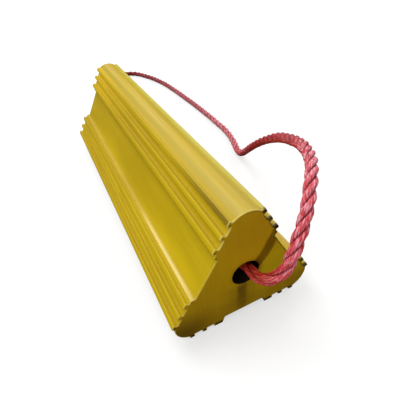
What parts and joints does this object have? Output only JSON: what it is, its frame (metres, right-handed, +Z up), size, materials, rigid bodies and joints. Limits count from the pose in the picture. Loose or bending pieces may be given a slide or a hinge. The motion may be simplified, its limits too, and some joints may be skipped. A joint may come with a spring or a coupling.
{
  "type": "wheel chock",
  "caption": "Three-lobed extruded polyurethane wheel chock with toothed gripping sides and a loop of laid rope threaded through its lengthwise bore.",
  "frame": {"origin": "on the ground under the middle of the chock body, which stands on the tooth tips of one side", "axes": "+Y along the chock's length and its bore, +X towards the side where the rope loop lies, +Z up"},
  "size_m": [0.2986, 0.9417, 0.1756],
  "materials": {
    "polyurethane": "satin cast polyurethane, safety yellow",
    "rope": "three-strand laid polypropylene, faded red"
  },
  "bodies": {
    "chock": {"chock_body": "polyurethane"},
    "rope_loop": {"rope": "rope", "rope_splice": "rope"}
  },
  "joints": [
    {"name": "rope_swing", "type": "hinge", "parent": "chock", "child": "rope_loop", "pos_m": [0, 0, 0.0735], "axis": [0, -1, 0], "range_deg": [0, 160]}
  ]
}
